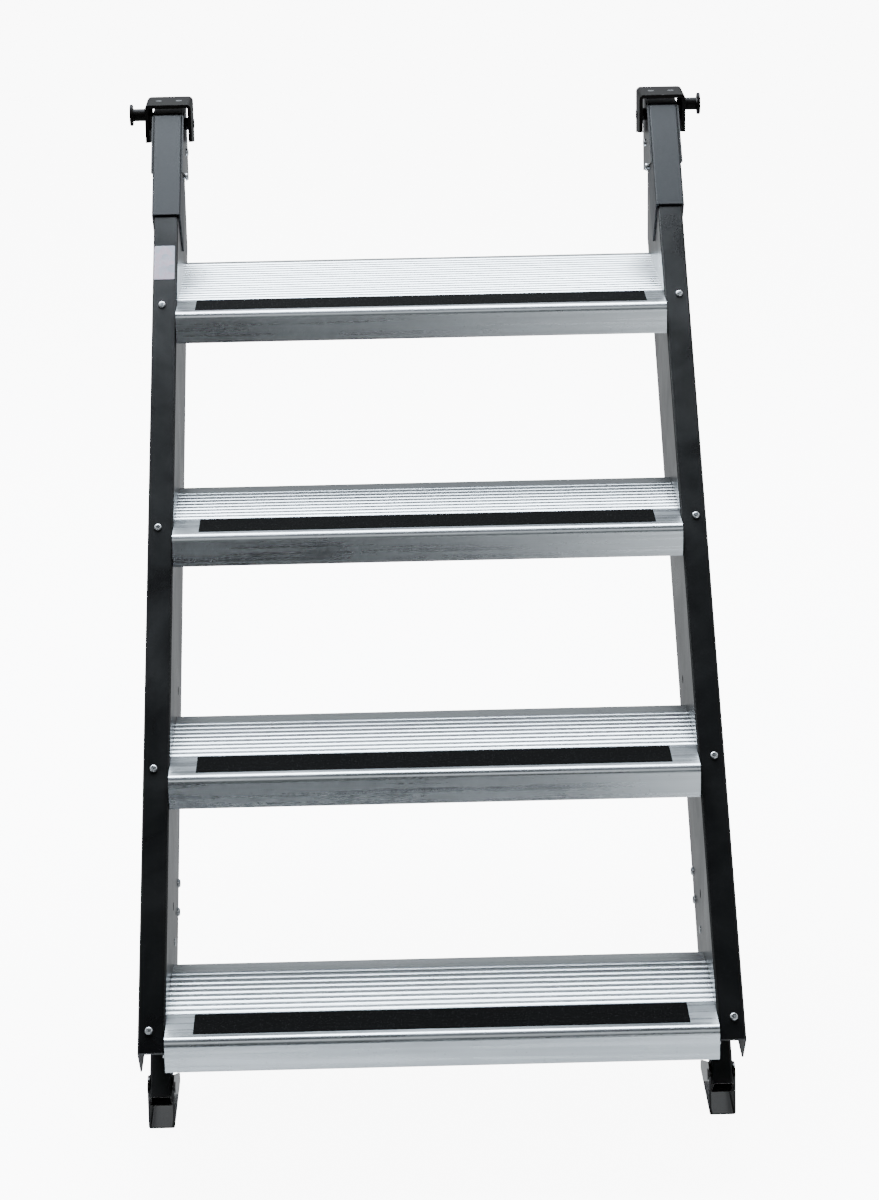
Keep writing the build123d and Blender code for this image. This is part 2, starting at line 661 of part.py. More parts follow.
def make_leg():
    """Square tube with a long adjusting slot in its inner side wall, and the foot's pivot hole."""
    slot_low = LEG_BOLT_S[0] - LEG_RETRACT
    slot_high = LEG_BOLT_S[1] + LEG_EXTEND
    length = slot_high + LEG_TOP_MARGIN - LEG_END_S
    inner = LEG_WIDTH - 2 * LEG_WALL
    ring = RectangleRounded(LEG_WIDTH, LEG_WIDTH, LEG_CORNER)
    ring -= RectangleRounded(inner, inner, LEG_CORNER - LEG_WALL)
    body = extrude(slope_frame(LEG_END_S, LEG_DEPTH) * ring, amount=length)
    radius = BOLT_RADIUS + SLOT_CLEARANCE
    slot = rod(on_slope(slot_low, LEG_DEPTH), radius, WEB_IN, SIDE_X)
    slot += rod(on_slope(slot_high, LEG_DEPTH), radius, WEB_IN, SIDE_X)
    sides = side_face(
        on_slope(slot_low, LEG_DEPTH - radius), on_slope(slot_low, LEG_DEPTH + radius),
        on_slope(slot_high, LEG_DEPTH + radius), on_slope(slot_high, LEG_DEPTH - radius),
    )
    body -= slot + across(sides, WEB_IN, SIDE_X)
    return drill_through(body, [foot_pivot()], PIN_RADIUS + HOLE_CLEARANCE)


def foot_pivot():
    """Side-view point of the foot's pivot."""
    return on_slope(LEG_PIVOT_S, LEG_DEPTH)


def make_leg_bolts():
    """Bolts through the inner web and the leg's slot, into the nuts inside the leg."""
    return inner_bolts(leg_bolt_points(), WEB_IN, leg_nut_seat() + NUT_HEIGHT + THREAD_STICKOUT)


def leg_nut_seat():
    """Where the leg nuts seat: just clear of the leg's inner side wall."""
    return SIDE_X - LEG_WIDTH / 2 + LEG_WALL + END_PLAY


def make_leg_nuts():
    return Compound([nut(point, leg_nut_seat(), 1) for point in leg_bolt_points()])


def shoe_block(half, bottom, bend):
    """Block round the foot's place, with its two long bottom edges rounded."""
    pivot_y, pivot_z = foot_pivot()
    block = Box(2 * half, 3 * FOOT_HEEL, 2 * pivot_z, align=(Align.CENTER, Align.CENTER, Align.MIN))
    block = fillet(edges_along_y(block, -half, 0) + edges_along_y(block, half, 0), bend)
    return Pos(SIDE_X, pivot_y, bottom) * block


def make_foot():
    """Shoe bent from one sheet: a flat sole and two cheeks that rise to the pivot."""
    pivot_y, pivot_z = foot_pivot()
    boss = Pos(pivot_y, pivot_z) * Circle(FOOT_BOSS_RADIUS)
    toe = Pos(pivot_y - FOOT_TOE + FOOT_TOE_RADIUS, FOOT_TOE_RADIUS) * Circle(FOOT_TOE_RADIUS)
    heel = Pos(pivot_y + FOOT_HEEL - FOOT_HEEL_RADIUS, FOOT_HEEL_RADIUS) * Circle(FOOT_HEEL_RADIUS)
    outline = make_hull(boss.edges() + toe.edges() + heel.edges())
    body = across(outline, SIDE_X - FOOT_HALF, SIDE_X + FOOT_HALF) & shoe_block(FOOT_HALF, 0, FOOT_BEND)
    body -= shoe_block(FOOT_INNER, FOOT_SHEET, FOOT_BEND - FOOT_SHEET)
    return drill_through(body, [foot_pivot()], PIN_RADIUS + PIVOT_CLEARANCE)


def make_foot_rivet():
    """Rivet through the leg and both of the foot's cheeks."""
    reach = FOOT_HALF + END_PLAY
    return rivet(foot_pivot(), PIN_RADIUS, PIN_HEAD_RADIUS, FOOT_RIVET_HEAD, SIDE_X - reach, SIDE_X + reach)


# ---- Label plate, on the left cover only ----
def make_label():
    middle = SLEEVE_BOTTOM_S - LABEL_BELOW_SLEEVE - LABEL_LENGTH / 2
    frame = face_frame(-(FLANGE_IN + COVER_OUT) / 2, middle)
    plate = RectangleRounded(LABEL_WIDTH, LABEL_LENGTH, 1.0)
    return extrude(frame * plate, amount=LABEL_THICKNESS)


SIDE_PARTS = {
    "stringer": make_stringer,
    "cover": make_cover,
    "cover_screws": make_cover_screws,
    "cover_nuts": make_cover_nuts,
    "tread_screws": make_tread_screws,
    "web_rivet": make_web_rivet,
    "sleeve": make_sleeve,
    "head_bracket": make_head_bracket,
    "head_bolts": make_head_bolts,
    "head_spacers": make_head_spacers,
    "hanger_cap": make_hanger_cap,
    "hanger_pad": make_hanger_pad,
    "cap_screws": make_cap_screws,
    "hanger_stud": make_hanger_stud,
    "stud_nut": make_stud_nut,
    "pivot_pin": make_pivot_pin,
    "pivot_collars": make_pivot_collars,
    "leg": make_leg,
    "leg_bolts": make_leg_bolts,
    "leg_nuts": make_leg_nuts,
    "foot": make_foot,
    "foot_rivet": make_foot_rivet,
}


def main():
    os.makedirs("parts", exist_ok=True)
    for name, make in SIDE_PARTS.items():
        shape = make()
        export_step(shape, f"parts/right_{name}.step")
        export_step(mirror(shape, about=Plane.YZ), f"parts/left_{name}.step")
    for index in range(TREAD_COUNT):
        export_step(make_tread(index), f"parts/tread_{index + 1}.step")
        export_step(make_tape(index), f"parts/grip_tape_{index + 1}.step")
    export_step(make_label(), "parts/label.step")


main()
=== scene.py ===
import json
from math import atan2, cos, radians, sin

import bpy
from bpy.props import FloatProperty, FloatVectorProperty, PointerProperty
from bpy.types import Operator, Panel, PropertyGroup
from mathutils import Matrix, Vector

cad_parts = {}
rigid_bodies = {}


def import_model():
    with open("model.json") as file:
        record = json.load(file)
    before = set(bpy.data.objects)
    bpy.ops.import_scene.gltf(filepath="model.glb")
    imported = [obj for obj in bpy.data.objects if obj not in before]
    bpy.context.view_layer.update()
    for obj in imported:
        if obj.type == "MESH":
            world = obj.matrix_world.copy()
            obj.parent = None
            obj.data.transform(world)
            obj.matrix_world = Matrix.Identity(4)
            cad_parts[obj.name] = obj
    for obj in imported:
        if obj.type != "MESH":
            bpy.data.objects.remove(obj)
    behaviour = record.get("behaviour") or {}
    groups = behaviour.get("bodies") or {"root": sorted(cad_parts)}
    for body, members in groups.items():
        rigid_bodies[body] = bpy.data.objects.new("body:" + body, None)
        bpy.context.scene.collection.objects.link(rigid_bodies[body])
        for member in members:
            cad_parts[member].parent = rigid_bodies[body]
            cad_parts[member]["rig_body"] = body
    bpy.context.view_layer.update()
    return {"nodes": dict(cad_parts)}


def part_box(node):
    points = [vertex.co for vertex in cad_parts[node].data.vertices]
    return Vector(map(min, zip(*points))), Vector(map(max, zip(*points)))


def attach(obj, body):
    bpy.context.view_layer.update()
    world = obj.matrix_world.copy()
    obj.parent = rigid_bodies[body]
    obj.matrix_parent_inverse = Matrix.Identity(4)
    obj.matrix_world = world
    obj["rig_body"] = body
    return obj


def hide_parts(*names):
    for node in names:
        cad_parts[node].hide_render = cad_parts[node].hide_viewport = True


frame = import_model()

bl_info = {
    "name": "Tailgate Step Finish",
    "version": (1, 0, 0),
    "blender": (4, 5, 0),
    "location": "View3D > Sidebar > Tailgate Step",
    "description": "Gives the four-tread hook-on step its pieces, finishes, studio and camera",
    "category": "Object",
}

SIDES = ("right", "left")
TREADS = sorted(name for name in frame["nodes"] if name.startswith("tread_"))
TAPES = sorted(name for name in frame["nodes"] if name.startswith("grip_tape_"))
MERGE_DISTANCE = 2e-6
FLAT_ANGLE = radians(0.4)
SMOOTH_ANGLE = radians(38)
ARRIS_ANGLE = radians(50)
FACING = 0.99
LEVEL_TOLERANCE = 0.0001
BACK_LAND = 0.015
GROOVE_AREA = 0.01
SAWN_AREA = 1e-5
FILM_THICKNESS = 0.0003

# Cards on the floor, in metres. Their depths are measured from the lowest tread's nose.
CARD_HEIGHT = 0.003
CARD_SIDE = 8.0
CARD_SPLIT = 1.05
FRONT_CARD_DEPTHS = (-14.0, -0.42)
BACK_CARD_DEPTHS = (0.2, 12.0)
CARD_COLOUR = (0.93, 0.97, 1.0, 1.0)

# Studio and softbox. Each edge is a pair of direction components between which the light changes.
STUDIO_COLOUR = (0.92, 0.965, 1.0, 1.0)
FRONT_EDGE = (-0.35, 0.1)
WALL_EDGE = (0.42, 0.6)
CEILING_EDGE = (0.74, 0.84)
SOFTBOX_AT = (-0.35, 1.25, 3.0)
SOFTBOX_TOWARDS = (-0.35, 0.2, 0.4)
SOFTBOX_SIZE = (2.3, 1.5)
SOFTBOX_COLOUR = (0.84, 0.92, 1.0)
SENSOR_WIDTH = 36.0


# ---- Sizes and colours that a user would change ----
class TreadLooks(PropertyGroup):
    """Extruded treads"""
    metal: FloatVectorProperty(
        name="Metal", description="Colour of the mill-finish aluminium",
        default=(0.68, 0.72, 0.75), subtype="COLOR", min=0, max=1)
    # Painted shade: the colour that the faces between the ridges are darkened towards.
    groove_shade: FloatVectorProperty(
        name="Groove Shade", description="Colour of the painted shade between the ridges",
        default=(0.16, 0.165, 0.17), subtype="COLOR", min=0, max=1)
    arris: FloatProperty(
        name="Arris", description="Radius of the extrusion's outer corners",
        default=0.0004, unit="LENGTH", precision=5)
    streak_length: FloatProperty(
        name="Streak Length", description="Length of the die lines along the tread",
        default=0.35, unit="LENGTH")
    streak_pitch: FloatProperty(
        name="Streak Pitch", description="Distance between neighbouring die lines",
        default=0.0011, unit="LENGTH", precision=5)
    roughness: FloatProperty(
        name="Roughness", description="Roughness of clean metal", default=0.25, min=0, max=1,
        subtype="FACTOR")


class TapeLooks(PropertyGroup):
    """Grit tape"""
    grit: FloatVectorProperty(
        name="Grit", description="Colour of the mineral grit", default=(0.0006, 0.0006, 0.0006),
        subtype="COLOR", min=0, max=1)
    spark: FloatVectorProperty(
        name="Spark", description="Colour of the grains that catch the light",
        default=(0.008, 0.008, 0.008), subtype="COLOR", min=0, max=1)
    grain: FloatProperty(
        name="Grain", description="Width of one grain of grit", default=0.0013, unit="LENGTH",
        precision=5)
    relief: FloatProperty(
        name="Relief", description="Height of the grit above its backing", default=0.00055,
        unit="LENGTH", precision=5)
    spacing: FloatProperty(
        name="Mesh Spacing", description="Size of the faces that carry the grit",
        default=0.00115, unit="LENGTH", precision=5)


class SheetLooks(PropertyGroup):
    """Coated sheet steel"""
    coat: FloatVectorProperty(
        name="Coat", description="Colour of the stringers' satin powder coat",
        default=(0.0014, 0.0015, 0.0018), subtype="COLOR", min=0, max=1)
    sleeve: FloatVectorProperty(
        name="Sleeve Coat", description="Colour of the sleeves' duller powder coat",
        default=(0.009, 0.0105, 0.013), subtype="COLOR", min=0, max=1)
    cap: FloatVectorProperty(
        name="Cap Paint", description="Colour of the hanger caps and studs",
        default=(0.0035, 0.0028, 0.0025), subtype="COLOR", min=0, max=1)
    leg: FloatVectorProperty(
        name="Leg Paint", description="Colour of the square legs", default=(0.0014, 0.0014, 0.0016),
        subtype="COLOR", min=0, max=1)
    foot: FloatVectorProperty(
        name="Foot Paint", description="Colour of the glossy swivel feet",
        default=(0.004, 0.0025, 0.0018), subtype="COLOR", min=0, max=1)
    bare: FloatVectorProperty(
        name="Bare Steel", description="Colour of steel where the coat is rubbed or sawn through",
        default=(0.36, 0.35, 0.34), subtype="COLOR", min=0, max=1)
    peel: FloatProperty(
        name="Peel", description="Width of the powder coat's orange peel", default=0.0009,
        unit="LENGTH", precision=5)
    arris: FloatProperty(
        name="Arris", description="Radius that the coat leaves on cut edges", default=0.00045,
        unit="LENGTH", precision=5)


class FastenerLooks(PropertyGroup):
    """Screws, bolts, nuts and small trim"""
    zinc: FloatVectorProperty(
        name="Zinc", description="Colour of the bright zinc plating", default=(0.74, 0.76, 0.78),
        subtype="COLOR", min=0, max=1)
    black_steel: FloatVectorProperty(
        name="Black Steel", description="Colour of the oiled black bolts",
        default=(0.045, 0.044, 0.045), subtype="COLOR", min=0, max=1)
    nylon: FloatVectorProperty(
        name="Nylon", description="Colour of the wear pads and collars",
        default=(0.016, 0.016, 0.017), subtype="COLOR", min=0, max=1)


class LabelLooks(PropertyGroup):
    """Blank label film"""
    film: FloatVectorProperty(
        name="Film", description="Colour of the silver film", default=(0.36, 0.39, 0.45),
        subtype="COLOR", min=0, max=1)
    tint: FloatVectorProperty(
        name="Tint", description="Colour that the film takes in patches",
        default=(0.38, 0.3, 0.35), subtype="COLOR", min=0, max=1)
    corner: FloatProperty(
        name="Corner", description="Radius of the film's corners", default=0.0012, unit="LENGTH",
        precision=5)


class StageLooks(PropertyGroup):
    """Floor, lights and camera"""
    floor: FloatVectorProperty(
        name="Floor", description="Colour of the floor", default=(0.86, 0.86, 0.86),
        subtype="COLOR", min=0, max=1)
    floor_width: FloatProperty(
        name="Floor Width", description="Width of the square floor", default=90.0, unit="LENGTH")
    horizon: FloatProperty(
        name="Horizon", description="Brightness of the foot of the studio's walls", default=0.34, min=0)
    wall_top: FloatProperty(
        name="Wall Top", description="Brightness of the studio's walls higher up", default=2.2, min=0)
    front_wall: FloatProperty(
        name="Front Wall", description="Share of the foot's brightness on the wall behind the camera",
        default=0.25, min=0, max=1)
    front_top: FloatProperty(
        name="Front Top", description="Share of the upper brightness on the wall behind the camera",
        default=0.5, min=0, max=1)
    ceiling: FloatProperty(
        name="Ceiling", description="Brightness of the studio straight overhead", default=0.012, min=0)
    floor_glow: FloatProperty(
        name="Floor Glow", description="Light that the floor gives off towards the camera",
        default=9.0, min=0)
    overhead: FloatProperty(
        name="Overhead", description="Power of the softbox above the step's head", default=200.0,
        unit="POWER")
    dark_card: FloatProperty(
        name="Dark Card", description="Brightness of the card that the treads' fronts reflect on the left",
        default=0.02, min=0)
    bright_card: FloatProperty(
        name="Bright Card", description="Brightness of the card that they reflect on the right",
        default=1.6, min=0)
    back_card: FloatProperty(
        name="Back Card", description="Brightness of the card that the webs reflect",
        default=0.75, min=0)
    camera_at: FloatVectorProperty(
        name="Camera", description="Place of the camera, from the middle of the lowest tread's nose",
        default=(-0.0402, -3.4892, 1.6628), subtype="TRANSLATION")
    yaw: FloatProperty(
        name="Yaw", description="Turn of the camera to its left", default=radians(-0.758),
        subtype="ANGLE")
    pitch: FloatProperty(
        name="Pitch", description="Tilt of the camera above the horizon", default=radians(-18.405),
        subtype="ANGLE")
    roll: FloatProperty(
        name="Roll", description="Turn of the camera about its own line of sight",
        default=radians(1.0715), subtype="ANGLE")
    lens: FloatProperty(
        name="Lens", description="Focal length on a 36 mm sensor", default=105.0, min=1,
        unit="CAMERA")


# ---- Working with pieces ----
def deselect():
    bpy.ops.object.select_all(action="DESELECT")


def pick(piece):
    """Makes piece the only selected and active object."""
    deselect()
    piece.select_set(True)
    bpy.context.view_layer.objects.active = piece


def apply_modifier(piece, kind, **settings):
    pick(piece)
    bpy.ops.object.modifier_add(type=kind)
    modifier = piece.modifiers[-1]
    for name, value in settings.items():
        setattr(modifier, name, value)
    bpy.ops.object.modifier_apply(modifier=modifier.name)


def select_faces(piece, wanted):
    """Selects, in edit mode, only the faces for which wanted(face) is true."""
    bpy.ops.object.mode_set(mode="EDIT")
    bpy.ops.mesh.select_mode(type="FACE")
    bpy.ops.mesh.select_all(action="DESELECT")
    bpy.ops.object.mode_set(mode="OBJECT")
    for face in piece.data.polygons:
        face.select = wanted(face)
    bpy.ops.object.mode_set(mode="EDIT")


def mark_faces(piece, name, wanted):
    """Face attribute that is 1 where wanted(face) is true."""
    marks = piece.data.attributes.new(name, "FLOAT", "FACE")
    marks.data.foreach_set("value", [float(wanted(face)) for face in piece.data.polygons])


def finish_piece(piece, node, material):
    """Gives a new piece its finish and puts it on the CAD node's body in that node's place."""
    piece.data.materials.clear()
    piece.data.materials.append(material)
    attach(piece, frame["nodes"][node]["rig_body"])
    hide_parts(node)
    return piece


def softened(node, piece_name, arris):
    """A whole-faced copy of a CAD node with its arrises rounded. The rounded faces are marked as rub."""
    piece = bpy.data.objects.new(piece_name, frame["nodes"][node].data.copy())
    bpy.context.scene.collection.objects.link(piece)
    pick(piece)
    bpy.ops.mesh.customdata_custom_splitnormals_clear()
    bpy.ops.object.mode_set(mode="EDIT")
    bpy.ops.mesh.select_all(action="SELECT")
    bpy.ops.mesh.remove_doubles(threshold=MERGE_DISTANCE)
    bpy.ops.mesh.dissolve_limited(angle_limit=FLAT_ANGLE)
    bpy.ops.object.mode_set(mode="OBJECT")
    piece.data.materials.clear()
    for _ in range(2):
        piece.data.materials.append(None)
    apply_modifier(
        piece, "BEVEL", width=arris, segments=2, limit_method="ANGLE", angle_limit=ARRIS_ANGLE,
        material=1, use_clamp_overlap=True)
    mark_faces(piece, "rub", lambda face: face.material_index == 1)
    piece.data.polygons.foreach_set("material_index", [0] * len(piece.data.polygons))
    bpy.ops.object.shade_smooth_by_angle(angle=SMOOTH_ANGLE)
    apply_modifier(piece, "WEIGHTED_NORMAL", keep_sharp=True)
    return piece


def stringer_slope():
    """Angle of the stringers above level."""
    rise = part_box(TREADS[-1])[0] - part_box(TREADS[0])[0]
    return atan2(rise.z, rise.y)


# ---- Working with shader nodes ----
def add(tree, kind, links=None, **settings):
    """New shader node. Links gives each input a value or another node's output."""
    made = tree.nodes.new(kind)
    for name, value in settings.items():
        setattr(made, name, value)
    for name, value in (links or {}).items():
        if isinstance(value, bpy.types.NodeSocket):
            tree.links.new(value, made.inputs[name])
        else:
            made.inputs[name].default_value = value
    return made


def maths(tree, operation, first, second=0.0):
    """Output of a Math node."""
    return add(tree, "ShaderNodeMath", {0: first, 1: second}, operation=operation).outputs[0]


def remap(tree, value, low, high, to_low=0.0, to_high=1.0):
    """Value moved from one range to another, and held to its ends."""
    links = {"Value": value, "From Min": low, "From Max": high, "To Min": to_low, "To Max": to_high}
    return add(tree, "ShaderNodeMapRange", links).outputs["Result"]


def blend_colours(tree, share, first, second):
    """Colour between first and second. Each is a colour or an output."""
    made = add(tree, "ShaderNodeMix", data_type="RGBA")
    for socket, value in ((0, share), (6, first), (7, second)):
        if isinstance(value, bpy.types.NodeSocket):
            tree.links.new(value, made.inputs[socket])
        else:
            made.inputs[socket].default_value = (*value, 1.0) if socket else value
    return made.outputs[2]


def noise(tree, vector, scale, detail=2.0, roughness=0.5, distortion=0.0):
    links = {
        "Vector": vector, "Scale": scale, "Detail": detail, "Roughness": roughness,
        "Distortion": distortion,
    }
    return add(tree, "ShaderNodeTexNoise", links).outputs["Fac"]


def place(tree):
    """Where a point is on the step, in metres."""
    return add(tree, "ShaderNodeTexCoord").outputs["Object"]


def arrange(tree):
    """Lays the nodes out in columns, in the order that they feed each other."""
    column = {node: 0 for node in tree.nodes}
    for _ in tree.nodes:
        for link in tree.links:
            column[link.from_node] = max(column[link.from_node], column[link.to_node] + 1)
    rows = {}
    for node in tree.nodes:
        row = rows[column[node]] = rows.get(column[node], -1) + 1
        node.location = (-240 * column[node], -220 * row)


def new_group(name, inputs, outputs):
    """Empty shader group with float inputs, given as name to default, and float outputs."""
    tree = bpy.data.node_groups.new(name, "ShaderNodeTree")
    for socket, default in inputs.items():
        made = tree.interface.new_socket(socket, in_out="INPUT", socket_type="NodeSocketFloat")
        made.default_value = default
    for socket in outputs:
        tree.interface.new_socket(socket, in_out="OUTPUT", socket_type="NodeSocketFloat")
    return tree, tree.nodes.new("NodeGroupInput").outputs, tree.nodes.new("NodeGroupOutput").inputs


def use_group(tree, group, **values):
    """Node that holds a group. Each value is for the input of that name, with _ for a space."""
    made = add(tree, "ShaderNodeGroup", node_tree=group)
    for name, value in values.items():
        made.inputs[name.replace("_", " ")].default_value = value
    return made.outputs


def peel_group():
    """Height of a sprayed or baked coat: orange peel over slow waves."""
    tree, given, wanted = new_group("Coat Peel", {"Width": 0.0009, "Waves": 0.35}, ("Height",))
    point = place(tree)
    fine = noise(tree, point, maths(tree, "DIVIDE", 1.0, given["Width"]), 1.0, 0.4)
    slow_scale = maths(tree, "DIVIDE", 0.09, given["Width"])
    slow = maths(tree, "MULTIPLY", noise(tree, point, slow_scale, 2.0), given["Waves"])
    tree.links.new(maths(tree, "ADD", fine, slow), wanted["Height"])
    arrange(tree)
    return tree


def handling_group():
    """Mask of smears, dust and dry patches, from 0 to 1."""
    tree, given, wanted = new_group("Handling Marks", {"Width": 0.08, "Sharpness": 0.5}, ("Mask",))
    point = place(tree)
    scale = maths(tree, "DIVIDE", 1.0, given["Width"])
    cloud = noise(tree, point, scale, 7.0, 0.62, 0.6)
    half = maths(tree, "MULTIPLY", maths(tree, "SUBTRACT", 1.05, given["Sharpness"]), 0.28)
    low = maths(tree, "SUBTRACT", 0.5, half)
    high = maths(tree, "ADD", 0.5, half)
    tree.links.new(remap(tree, cloud, low, high), wanted["Mask"])
    arrange(tree)
    return tree


def rub_group():
    """Mask of coat rubbed thin on the faces that are marked as rub."""
    tree, given, wanted = new_group("Edge Rub", {"Amount": 0.4, "Width": 0.012}, ("Mask",))
    edge = add(tree, "ShaderNodeAttribute", attribute_name="rub").outputs["Fac"]
    patches = noise(tree, place(tree), maths(tree, "DIVIDE", 1.0, given["Width"]), 5.0, 0.7)
    start = maths(tree, "SUBTRACT", 0.78, maths(tree, "MULTIPLY", given["Amount"], 0.5))
    worn = remap(tree, patches, start, maths(tree, "ADD", start, 0.1))
    tree.links.new(maths(tree, "MULTIPLY", worn, edge), wanted["Mask"])
    arrange(tree)
    return tree


def streak_group():
    """Lines drawn along X: a fine height, and a broad mask of lighter and darker bands."""
    inputs = {"Length": 0.35, "Pitch": 0.0011}
    tree, given, wanted = new_group("Drawn Streaks", inputs, ("Fine", "Broad"))
    parts = add(tree, "ShaderNodeSeparateXYZ", {"Vector": place(tree)}).outputs
    along = maths(tree, "DIVIDE", parts["X"], given["Length"])
    for output, widths, detail in (("Fine", 1.0, 2.0), ("Broad", 5.5, 5.0)):
        pitch = maths(tree, "MULTIPLY", given["Pitch"], widths)
        across = maths(tree, "DIVIDE", parts["Y"], pitch)
        down = maths(tree, "DIVIDE", parts["Z"], pitch)
        point = add(tree, "ShaderNodeCombineXYZ", {"X": along, "Y": across, "Z": down}).outputs[0]
        tree.links.new(noise(tree, point, 1.0, detail, 0.6), wanted[output])
    arrange(tree)
    return tree


def speck_group():
    """Mask of separate grains or specks, each lit or dark at random."""
    inputs = {"Width": 0.0013, "Share": 0.1}
    tree, given, wanted = new_group("Specks", inputs, ("Mask", "Shade"))
    links = {"Vector": place(tree), "Scale": maths(tree, "DIVIDE", 1.0, given["Width"])}
    cells = add(tree, "ShaderNodeTexVoronoi", links).outputs
    shade = add(tree, "ShaderNodeSeparateColor", {"Color": cells["Color"]}).outputs["Red"]
    lit = maths(tree, "GREATER_THAN", shade, maths(tree, "SUBTRACT", 1.0, given["Share"]))
    core = maths(tree, "LESS_THAN", cells["Distance"], 0.42)
    tree.links.new(maths(tree, "MULTIPLY", lit, core), wanted["Mask"])
    tree.links.new(shade, wanted["Shade"])
    arrange(tree)
    return tree


GROUP_MAKERS = {
    "Coat Peel": peel_group,
    "Handling Marks": handling_group,
    "Edge Rub": rub_group,
    "Drawn Streaks": streak_group,
    "Specks": speck_group,
}


def group(name):
    """The shader group of that name, built when it is first used."""
    return bpy.data.node_groups.get(name) or GROUP_MAKERS[name]()


def new_material(name):
    """Material with a bare Principled shader. Returns it, its tree and the shader's inputs."""
    material = bpy.data.materials.new(name)
    material.use_nodes = True
    tree = material.node_tree
    return material, tree, tree.nodes["Principled BSDF"].inputs


def bump(tree, shader, height, strength, distance):
    links = {"Height": height, "Strength": strength, "Distance": distance}
    tree.links.new(add(tree, "ShaderNodeBump", links).outputs["Normal"], shader["Normal"])


# ---- Finishes ----
def coated_steel(name, colour, roughness, peel, bare, rub=0.4, specular=0.36, gloss=0.0):
    """Black coat over steel: orange peel, dull and shiny patches, and rubbed arrises."""
    material, tree, shader = new_material(name)
    marks = use_group(tree, group("Handling Marks"), Width=0.11, Sharpness=0.35)["Mask"]
    dust = use_group(tree, group("Specks"), Width=0.0021, Share=0.035)["Mask"]
    worn = use_group(tree, group("Edge Rub"), Amount=rub)["Mask"]
    lighter = [1.6 * part for part in colour]
    base = blend_colours(tree, maths(tree, "MULTIPLY", marks, 0.6), colour, lighter)
    dusty = [part + 0.008 for part in colour]
    base = blend_colours(tree, maths(tree, "MULTIPLY", dust, 0.5), base, dusty)
    base = blend_colours(tree, maths(tree, "MULTIPLY", worn, 0.55), base, bare)
    tree.links.new(base, shader["Base Color"])
    tree.links.new(maths(tree, "MULTIPLY", worn, 0.6), shader["Metallic"])
    rough = remap(tree, marks, 0.0, 1.0, roughness - 0.05, roughness + 0.07)
    rough = maths(tree, "SUBTRACT", rough, maths(tree, "MULTIPLY", worn, 0.08))
    tree.links.new(rough, shader["Roughness"])
    shader["Specular IOR Level"].default_value = specular
    shader["Coat Weight"].default_value = gloss
    shader["Coat Roughness"].default_value = 0.16
    height = use_group(tree, group("Coat Peel"), Width=peel, Waves=0.35)["Height"]
    bump(tree, shader, height, 0.35, 0.00008)
    arrange(tree)
    return material


def stringer_coat(looks):
    return coated_steel("Black Powder Coat", looks.coat, 0.3, looks.peel, looks.bare)


def sleeve_coat(looks):
    return coated_steel("Sleeve Powder Coat", looks.sleeve, 0.42, looks.peel, looks.bare, specular=0.3)


def cap_paint(looks):
    return coated_steel(
        "Cap Paint", looks.cap, 0.46, 1.6 * looks.peel, looks.bare, rub=0.5, specular=0.1)


def leg_paint(looks):
    return coated_steel("Leg Paint", looks.leg, 0.42, looks.peel, looks.bare, rub=0.3)


def foot_paint(looks):
    return coated_steel(
        "Foot Paint", looks.foot, 0.22, 2.2 * looks.peel, looks.bare, rub=0.75, gloss=0.25)


def sawn_steel(looks):
    """Bare tube end, with the lines that the saw left."""
    material, tree, shader = new_material("Sawn Steel")
    streaks = use_group(tree, group("Drawn Streaks"), Length=0.02, Pitch=0.0004)
    marks = use_group(tree, group("Handling Marks"), Width=0.015, Sharpness=0.5)["Mask"]
    dull = [0.55 * part for part in looks.bare]
    tree.links.new(blend_colours(tree, marks, looks.bare, dull), shader["Base Color"])
    shader["Metallic"].default_value = 0.85
    tree.links.new(remap(tree, streaks["Broad"], 0.3, 0.7, 0.3, 0.48), shader["Roughness"])
    bump(tree, shader, streaks["Fine"], 0.5, 0.00005)
    arrange(tree)
    return material


def mill_aluminium(looks):
    """Extruded metal: die lines along X, broad bands, dull handling marks and painted shade in the grooves
    between the ridges.
    """
    material, tree, shader = new_material("Mill Aluminium")
    streaks = use_group(
        tree, group("Drawn Streaks"), Length=looks.streak_length, Pitch=looks.streak_pitch)
    marks = use_group(tree, group("Handling Marks"), Width=0.16, Sharpness=0.3)["Mask"]
    dust = use_group(tree, group("Specks"), Width=0.0028, Share=0.02)["Mask"]
    groove = add(tree, "ShaderNodeAttribute", attribute_name="groove").outputs["Fac"]
    band = remap(tree, streaks["Broad"], 0.36, 0.64)
    metal = tuple(looks.metal)
    base = metal
    for mask, share, darker in ((band, 0.5, 0.72), (marks, 0.25, 0.9), (dust, 0.3, 0.55)):
        shade = [darker * part for part in metal]
        base = blend_colours(tree, maths(tree, "MULTIPLY", mask, share), base, shade)
    # Painted shade: the faces between the ridges are darkened towards the groove shade colour, more in some
    # broad bands than in others.
    groove_shade = maths(tree, "MULTIPLY", groove, remap(tree, streaks["Broad"], 0.2, 0.8, 0.55, 0.9))
    tree.links.new(blend_colours(tree, groove_shade, base, tuple(looks.groove_shade)), shader["Base Color"])
    shader["Metallic"].default_value = 1.0
    uneven = maths(tree, "ADD", band, marks)
    rough = remap(tree, uneven, 0.0, 2.0, looks.roughness - 0.05, looks.roughness + 0.12)
    rough = maths(tree, "ADD", rough, maths(tree, "MULTIPLY", groove, 0.2))
    tree.links.new(rough, shader["Roughness"])
    bump(tree, shader, streaks["Fine"], 0.3, 0.00006)
    arrange(tree)
    return material


